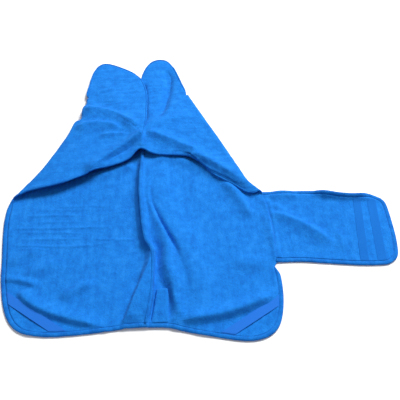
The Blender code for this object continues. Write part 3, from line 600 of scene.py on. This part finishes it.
# upper half of its section, across from the inner to the outer side, and up: it is sewn down
# flat beside the cloth's end, which leaves a groove, and swells over the folded edge
BAND_SHAPE = [(-1.0, 0.0), (-0.96, 0.28), (-0.77, 0.34), (-0.64, 0.44), (-0.47, 0.74),
              (-0.24, 0.96), (0.07, 1.0), (0.41, 0.95), (0.71, 0.74), (0.92, 0.38), (1.0, 0.0)]


def normals_of(points):
    """Unit normals of a grid of points."""
    across = np.cross(np.gradient(points, axis=0), np.gradient(points, axis=1))
    return across / np.linalg.norm(across, axis=2)[:, :, None]


def band_frames(path, inner, normals, clear):
    """For each point of a path: its direction, the way out of the cloth, and up."""
    way = np.gradient(smoothed(path, 3), axis=0)
    way /= np.linalg.norm(way, axis=1)[:, None]
    outs = np.cross(way, normals)
    outs *= np.where(((path - inner) * outs).sum(axis=1) < 0, -1, 1)[:, None]
    outs = smoothed(outs / np.linalg.norm(outs, axis=1)[:, None], 6)
    depth = np.clip((path[:, 2] - BAND_THICK / 2 - 0.2 - clear) / BINDING, 0, 1)
    outs[:, 2] = np.maximum(outs[:, 2], -depth)
    outs /= np.linalg.norm(outs, axis=1)[:, None]
    ups = np.cross(outs, way)
    ups /= np.linalg.norm(ups, axis=1)[:, None]
    ups *= np.where(ups[:, 2:] < 0, -1, 1)
    return way, outs, ups


def band(name, path, outs, ups, widths, thick):
    """A folded strip swept along a path, with slight puckers between its stitches."""
    shape = np.array(BAND_SHAPE + [(o, -n) for o, n in reversed(BAND_SHAPE[:-1])])
    shape = np.vstack([shape, shape[:1]])
    rings = []
    for k, (point, out, up, width) in enumerate(zip(path, outs, ups, widths)):
        pucker = 1 + 0.06 * math.sin(k * 1.9) + 0.05 * math.sin(k * 0.73 + 1.0)
        middle = point + out * (width / 2 - OVERLAP)
        across = out[None] * shape[:, :1] * width / 2
        rings.append(middle + across + up[None] * shape[:, 1:] * thick / 2 * pucker)
    grid = np.array(rings)
    bm = bmesh.new()
    made = bmesh.ops.create_grid(bm, x_segments=grid.shape[1] - 1,
                                 y_segments=grid.shape[0] - 1, size=0.5)
    for vert, place in zip(made["verts"], to_frame(grid)):
        vert.co = place
    bmesh.ops.remove_doubles(bm, verts=bm.verts, dist=0.00001)
    bmesh.ops.holes_fill(bm, edges=[e for e in bm.edges if e.is_boundary])
    bmesh.ops.recalc_face_normals(bm, faces=bm.faces)
    mesh = bpy.data.meshes.new(name)
    bm.to_mesh(mesh)
    bm.free()
    mesh.shade_smooth()
    piece = bpy.data.objects.new(name, mesh)
    bpy.context.scene.collection.objects.link(piece)
    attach(piece, "root")
    return piece


# The binding is cut from the same towelling, pressed flatter by its folds, so a little darker.
binding_cloth = towelling_material("blue_towelling_binding", "#1163bc", "#156fc9", "#1c7ad4")
stitch_rows = []
side_bands = {}
bindings = {"left": [], "right": []}
for side, (half, grids) in halves.items():
    back, over, lobe, foot = grids["back"], grids["over"], grids["lobe"], grids["foot"]
    nb, no, nl = normals_of(back), normals_of(over), normals_of(lobe)
    last = foot if side == "left" else EDGE_CELLS * 3 // 5 - 1
    hem = (back[0], back[1], nb[0])
    edge = (back[1:last + 1, -1], back[1:last + 1, -2], nb[1:last + 1, -1])
    chest = (over[0, 1:], over[1, 1:], no[0, 1:])
    tab = [np.vstack([x[1:, 0], x[-1, 1:], x[-2::-1, -1]]) for x in (lobe, nl)]
    tab_inner = np.vstack([lobe[1:, 1], lobe[-2, 1:], lobe[-2::-1, -2]])
    runs = {"collar_binding_" + side: ([(tab[0], tab_inner, tab[1])], [NARROW_BINDING], 0.0)}
    if side == "left":
        runs["edge_binding_left"] = ([hem, edge, chest], [BINDING, BINDING, NARROW_BINDING], 0.0)
    else:
        runs["hem_binding_right"] = ([hem, edge], [BINDING, BINDING], 0.0)
        cut = TURN_CELLS // 2
        chest = tuple(x[cut:] for x in chest)
        runs["chest_binding_right"] = ([chest], [NARROW_BINDING], CHEST_CLEAR)
    for name, (stretches, shows, clear) in runs.items():
        path, inner, normals = (np.vstack([s[k] for s in stretches]) for k in range(3))
        widths = np.concatenate([np.full(len(s[0]), w) for s, w in zip(stretches, shows)])
        if name == "hem_binding_right":
            widths[-TAPER:] = np.linspace(BINDING, 2.5, TAPER)
        widths = smoothed(widths, 12) + OVERLAP
        way, outs, ups = band_frames(path, inner, normals, clear)
        if name in ("edge_binding_left", "hem_binding_right"):
            side_bands[side] = (path, outs)
        if name.startswith("collar") or name == "chest_binding_right":
            # thin at both ends of a collar tab, and where the chest edge meets the belt
            count = np.arange(len(path))
            ends = np.minimum(count, count[::-1]) if name.startswith("collar") else count
            slim = np.clip(ends / TAPER, 0, 1)
            widths, ups = widths * (0.3 + 0.7 * slim), ups * (0.2 + 0.8 * slim)[:, None]
        piece = band("folded_" + name, path, outs, ups, widths, BAND_THICK)
        piece.data.materials.append(binding_cloth)
        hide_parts(name)
        bindings[side].append(piece)
        stitch_rows.append((path + outs * STITCH_LINE, way, ups * STITCH_LINE))

# ---------------------------------------------------------------- centre back seam
# The two back panels are joined by a flat-felled seam that stands up as a soft welt. Below the
# pleat at the hem it is pressed thin along the edge of the folded flap.
WELT = {"low": 3, "high": 556, "width": 7.0, "thick": 3.0, "over": 0.4, "step": 2.8}
CARRIED_BY = 6                        # it lies on the highest cloth this near, mm across
PRESSED_TO, PRESSED_OVER = 120, 50    # y up to which it is pressed, and the change's length
y = np.arange(WELT["low"], WELT["high"], WELT["step"])
line = np.array(SEAM, float)
welt = np.column_stack([np.interp(y, line[:, 0], line[:, 1]), y, np.zeros(len(y))])
lying = np.vstack([grids["back"].reshape(-1, 3) for _, grids in halves.values()])
for spot in welt:
    near = np.hypot(lying[:, 0] - spot[0], (lying[:, 1] - spot[1]) * 0.6) < CARRIED_BY
    spot[2] = lying[near, 2].max() + CLOTH / 2 + WELT["over"]
welt = smoothed(welt, 8)
way = np.gradient(welt, axis=0)
way /= np.linalg.norm(way, axis=1)[:, None]
outs = np.cross(way, [0.0, 0.0, 1.0])
outs /= np.linalg.norm(outs, axis=1)[:, None]
pressed = np.clip((y - PRESSED_TO) / PRESSED_OVER, 0, 1)
widths = WELT["width"] * (0.45 + 0.55 * pressed)
taper = 0.18 + 0.82 * pressed
seam_piece = band("back_seam_welt", welt - outs * (widths[:, None] / 2 - OVERLAP), outs,
                  np.cross(outs, way) * taper[:, None], widths, WELT["thick"])
seam_piece.data.materials.append(binding_cloth)
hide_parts("centre_seam_welt")

# ---------------------------------------------------------------- belly belt
# A wide belt of the same towelling, sewn to the right side. It passes under the belly and
# closes with its hook tapes on the pile.
# lower side, far end and upper side, outer side of the binding: x, y, z
BELT_LOW = [(316, 126, 0), (363, 120, 0), (410, 114, 0), (440, 111, 0), (477, 110, 0),
            (491, 113, 0), (502, 120, 0)]
BELT_END = [(503, 118, 0), (511, 133, 0), (515, 152, 0), (518, 181, 0), (519, 217, 0),
            (519, 250, 0), (517, 268, 0), (511, 282, 0)]
BELT_TOP = [(306, 311, 0), (345, 309, 1.5), (370, 304, 4), (395, 297, 6), (420, 291, 6),
            (446, 288, 5), (472, 289, 2), (492, 290, 0), (509, 281, 0)]
BELT_FOLDS = [
    (262, 250, 322, 226, 390, 161, 9, 9, 18, 0.20, 1.5),
    (266, 292, 300, 301, 346, 290, 3.5, 7, 8, 0.35, 1.8),
    (268, 286, 292, 262, 316, 244, 3, 8, 8, 0.35, 1.8),
    (402, 206, 404, 176, 402, 142, 3, 8, 8, 0.35, 2.0),
    (362, 299, 430, 283, 500, 283, 6, 10, 6, 0.22, 1.8),
]
BELT_CELLS = (88, 62)
a = np.linspace(0, 1, BELT_CELLS[0] + 1)
b = np.linspace(0, 1, BELT_CELLS[1] + 1)
low_first, top_first = np.array([[265.5, 136.5, 0]]), np.array([[254, 303, 0]])
low_corner, top_corner = np.array([[496.0, 127, 0]]), np.array([[503.0, 274, 0]])
low = along(np.vstack([low_first, inset(BELT_LOW, BINDING)[:-1], low_corner]), a)
high = along(np.vstack([top_first, inset(BELT_TOP, -BINDING)[:-1], top_corner]), a)
near_body = np.array([(x - 2.5, y, 0) for x, y in BELT_SEAM[1:]], float)
first = along(np.vstack([low_first, near_body, top_first]), b)
last = along(np.vstack([low_corner, inset(BELT_END, BINDING)[1:-1], top_corner]), b)
belt = spanned(low, high, first, last, a)
near_edge = np.minimum.reduce([np.linalg.norm(belt - belt[:, -1:], axis=2),
                               np.linalg.norm(belt - belt[:1], axis=2),
                               np.linalg.norm(belt - belt[-1:], axis=2)])
belt[:, :, 2] += CLOTH / 2 + SWELL * np.exp(-(near_edge / SWELL_REACH) ** 2)
belt[:, :, 2] += creased(belt, BELT_FOLDS) + creased(belt, BELT_JOIN)
belt_piece = cloth_piece("belt_cloth", [(belt, 0.0)], False, CLOTH)
belt_piece.data.materials.append(towelling)
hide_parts("belly_belt")

facing = normals_of(belt)
belt_path = np.vstack([belt[0], belt[1:, -1], belt[-1, -2::-1]])
inner = np.vstack([belt[1], belt[1:, -2], belt[-2, -2::-1]])
normals = np.vstack([facing[0], facing[1:, -1], facing[-1, -2::-1]])
way, belt_outs, ups = band_frames(belt_path, inner, normals, 0.0)
widths = np.full(len(belt_path), BINDING + OVERLAP)
belt_band = band("belt_edge_binding", belt_path, belt_outs, ups, widths, BAND_THICK)
belt_band.data.materials.append(binding_cloth)
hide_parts("belt_binding")
stitch_rows.append((belt_path + belt_outs * STITCH_LINE, way, ups * STITCH_LINE))

# ---------------------------------------------------------------- flat trims: tapes and elastics
# Two hook tapes lie across the belt's end. A leg elastic crosses each rear corner, its ends
# caught in the binding. Both are woven flat and follow the cloth they are sewn to.
IN_BINDING = 4.5                 # how far a strip's ends reach out into the binding


def beyond(spots, path, outs):
    """How far points lie out over the border a binding follows, and its nearest height."""
    flat = spots.reshape(-1, spots.shape[-1])[:, :2]
    apart = flat[:, None] - path[None, :, :2]
    near = (apart ** 2).sum(axis=2).argmin(axis=1)
    out = (apart[np.arange(len(flat)), near] * outs[near, :2]).sum(axis=1)
    return out.reshape(spots.shape[:-1]), path[near, 2].reshape(spots.shape[:-1])


def caught(start, end, width, across, path, outs):
    """A strip's points in plan, lengthened or cut so that its ends lie in a binding."""
    start, run = np.array(start, float), np.array(end, float) - start
    square = np.array([-run[1], run[0]]) / np.linalg.norm(run)
    columns = []
    for s in across:
        t = np.linspace(-0.15, 1.15, 521)[:, None]
        line = start + run * t + square * s * width
        inside = np.nonzero(beyond(line, path, outs)[0] < IN_BINDING)[0]
        t = np.linspace(t[inside[0], 0], t[inside[-1], 0], 131)[:, None]
        columns.append(start + run * t + square * s * width)
    return np.stack(columns, axis=1)


def tucked(spots, height, path, outs):
    """Heights of a strip that dips under the binding where it passes the cloth's edge."""
    out, under = beyond(spots, path, outs)
    share = np.clip((out + 2.2) / 2.6, 0, 1)
    share = share * share * (3 - 2 * share)
    return height * (1 - share) + under * share


def trim(name, points, wall, material):
    """A flat woven strip from its own grid of points."""
    bm = bmesh.new()
    made = bmesh.ops.create_grid(bm, x_segments=points.shape[1] - 1,
                                 y_segments=points.shape[0] - 1, size=0.5)
    for vert, place in zip(made["verts"], to_frame(points)):
        vert.co = place
    bmesh.ops.recalc_face_normals(bm, faces=bm.faces)
    if sum(face.normal.z for face in bm.faces) < 0:
        bmesh.ops.reverse_faces(bm, faces=bm.faces)
    mesh = bpy.data.meshes.new(name)
    bm.to_mesh(mesh)
    bm.free()
    mesh.shade_smooth()
    mesh.materials.append(material)
    piece = bpy.data.objects.new("sewn_" + name, mesh)
    bpy.context.scene.collection.objects.link(piece)
    thick = piece.modifiers.new("wall", "SOLIDIFY")
    thick.thickness = wall * MM
    thick.offset = 0
    round_edge = piece.modifiers.new("edge", "BEVEL")
    round_edge.width = 0.0003        # 0.3 mm
    round_edge.segments = 2
    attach(piece, "root")
    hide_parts(name)
    return piece


# Hook tape: a woven nylon ground with short stiff hooks, smoother and less clouded than pile.
HOOK_PITCH_MM = 2.2      # spacing of the hooks, drawn coarser than real so that they show
tape = bpy.data.materials.new("blue_hook_tape")
tape.use_nodes = True
tree = tape.node_tree
shader = tree.nodes["Principled BSDF"]
where = add_node(tree, "ShaderNodeTexCoord").outputs["Object"]
hooks = add_node(tree, "ShaderNodeTexVoronoi", {"Vector": where, "Scale": 1000 / HOOK_PITCH_MM,
                 "Randomness": 0.35}).outputs["Distance"]
ramp = add_node(tree, "ShaderNodeValToRGB", {"Fac": hooks})
ramp.color_ramp.elements[0].color = linear("#1a6ec5")
ramp.color_ramp.elements[1].position = 0.8
ramp.color_ramp.elements[1].color = linear("#1765bb")
tree.links.new(ramp.outputs["Color"], shader.inputs["Base Color"])
bump = add_node(tree, "ShaderNodeBump", {"Height": hooks, "Strength": 0.5, "Distance": 0.0008},
                invert=True)
tree.links.new(bump.outputs["Normal"], shader.inputs["Normal"])
shader.inputs["Roughness"].default_value = 0.9
shader.inputs["Specular IOR Level"].default_value = 0.06

# lower end x, upper end x, lower y, upper y, width
HOOKS = {
    "hook_strip_inner": (442, 456, 130, 272, 17),
    "hook_strip_outer": (477, 488, 128, 272, 19),
}
HOOK_T = 0.8
belt_plan = belt.reshape(-1, 3)
for name, (x0, x1, y0, y1, width) in HOOKS.items():
    spots = caught((x0, y0), (x1, y1), width, np.linspace(0.5, -0.5, 9), belt_path, belt_outs)
    apart = np.linalg.norm(spots.reshape(-1, 1, 2) - belt_plan[None, :, :2], axis=2)
    lying = belt_plan[apart.argmin(axis=1), 2].reshape(spots.shape[:2])
    lying = smoothed(lying, 12) + CLOTH / 2 + 0.05
    spots = np.dstack([spots, tucked(spots, lying, belt_path, belt_outs)])
    trim(name, spots, HOOK_T, tape)

# Woven elastic: polyester over rubber cords, so it has even lengthwise ribs, a dense cross
# weave and a slight sheen.
ELASTIC_RIBS = 9
RIB_RISE = 0.14          # mm
WEAVE_MM = 1.2           # cross threads
elastic_weave = bpy.data.materials.new("blue_woven_elastic")
elastic_weave.use_nodes = True
tree = elastic_weave.node_tree
shader = tree.nodes["Principled BSDF"]
where = add_node(tree, "ShaderNodeTexCoord").outputs["Object"]
threads = add_node(tree, "ShaderNodeTexNoise", {"Vector": where, "Scale": 1000 / WEAVE_MM,
                   "Detail": 2.0}).outputs["Fac"]
ramp = add_node(tree, "ShaderNodeValToRGB", {"Fac": threads})
ramp.color_ramp.elements[0].position = 0.3
ramp.color_ramp.elements[0].color = linear("#226bcc")
ramp.color_ramp.elements[1].position = 0.7
ramp.color_ramp.elements[1].color = linear("#2974d4")
tree.links.new(ramp.outputs["Color"], shader.inputs["Base Color"])
bump = add_node(tree, "ShaderNodeBump", {"Height": threads, "Strength": 0.25,
                "Distance": 0.0005})
tree.links.new(bump.outputs["Normal"], shader.inputs["Normal"])
shader.inputs["Roughness"].default_value = 0.9
shader.inputs["Specular IOR Level"].default_value = 0.06

# end at the side edge x, y; end at the hem x, y
ELASTICS = {
    "leg_elastic_left": ((-253, 72), (-148, -8)),
    "leg_elastic_right": ((252, 36), (162, -21)),
}
ELASTIC_W, ELASTIC_T = 18.5, 1.3
for name, (start, end) in ELASTICS.items():
    s = np.linspace(-0.5, 0.5, ELASTIC_RIBS * 4 + 1)
    border = side_bands[name.rsplit("_", 1)[1]]
    spots = caught(start, end, ELASTIC_W, s, *border)
    crest = creased(spots, BACK_FOLDS)
    crest = crest[:, 9:-9].min(axis=1, keepdims=True)
    rib = RIB_RISE * np.cos(2 * math.pi * ELASTIC_RIBS * s[None]) * (np.abs(s[None]) < 0.47)
    height = CLOTH + 1.0 + smoothed(crest, 40) + ELASTIC_T / 2 + rib
    height = tucked(spots, height, *border)
    strap = trim(name, np.dstack([spots, height]), ELASTIC_T, elastic_weave)
    bindings[name.rsplit("_", 1)[1]].append(strap)

# ---------------------------------------------------------------- tab at the hem centre
# A short folded loop of towelling, caught in the hem binding at the centre back.
# y; x of the left and right side; z of its middle
TAB = [(4, 15, 51, 4.0), (12, 17, 50, 4.8), (30, 21, 49.5, 5.8), (50, 24.5, 49.5, 7.0),
       (64, 27, 49, 8.0), (72, 28, 48.5, 8.4), (75, 29, 47.5, 7.6)]
TAB_SWELL = 1.2          # how much its middle stands over its edges
left = along(np.array(TAB, float)[:, [1, 0, 3]], np.linspace(0, 1, 30))
right = along(np.array(TAB, float)[:, [2, 0, 3]], np.linspace(0, 1, 30))
t = np.linspace(0, 1, 15)[None, :, None]
points = left[:, None] * (1 - t) + right[:, None] * t
bulge = np.sin(math.pi * t[:, :, 0]) - (2 * np.abs(t[:, :, 0] - 0.5)) ** 8
points[:, :, 2] += TAB_SWELL * bulge
tab_piece = cloth_piece("tab_loop", [(points, 0.0)], False, 3.0)
tab_piece.data.materials.append(towelling)
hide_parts("hem_tab")

# ---------------------------------------------------------------- stitching
# Lockstitch rows hold every binding: polyester thread of the same blue, about three stitches
# to the centimetre, each sunk a little into the cloth.
STITCH_MM = 3.4
THREAD_MM = 0.5
thread = bpy.data.materials.new("blue_polyester_thread")
thread.use_nodes = True
shader = thread.node_tree.nodes["Principled BSDF"]
shader.inputs["Base Color"].default_value = linear("#1c6fce")
shader.inputs["Roughness"].default_value = 0.55
bm = bmesh.new()
for path, way, ups in stitch_rows:
    steps = np.linalg.norm(np.diff(path, axis=0), axis=1)
    run = np.concatenate([[0], np.cumsum(steps)])
    marks = np.arange(STITCH_MM, run[-1] - STITCH_MM, STITCH_MM)
    spots = np.column_stack([np.interp(marks, run, c) for c in (path + ups).T])
    ways = np.column_stack([np.interp(marks, run, c) for c in way.T])
    for spot, direction in zip(to_frame(spots), ways):
        turn = Vector(direction).to_track_quat("Z", "X").to_matrix().to_4x4()
        bmesh.ops.create_cone(bm, cap_ends=True, segments=5, radius1=THREAD_MM * MM / 2,
                              radius2=THREAD_MM * MM / 2, depth=STITCH_MM * 0.72 * MM,
                              matrix=Matrix.Translation(spot) @ turn)
mesh = bpy.data.meshes.new("binding_stitches")
bm.to_mesh(mesh)
bm.free()
mesh.materials.append(thread)
stitches = bpy.data.objects.new("binding_stitches", mesh)
bpy.context.scene.collection.objects.link(stitches)
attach(stitches, "root")
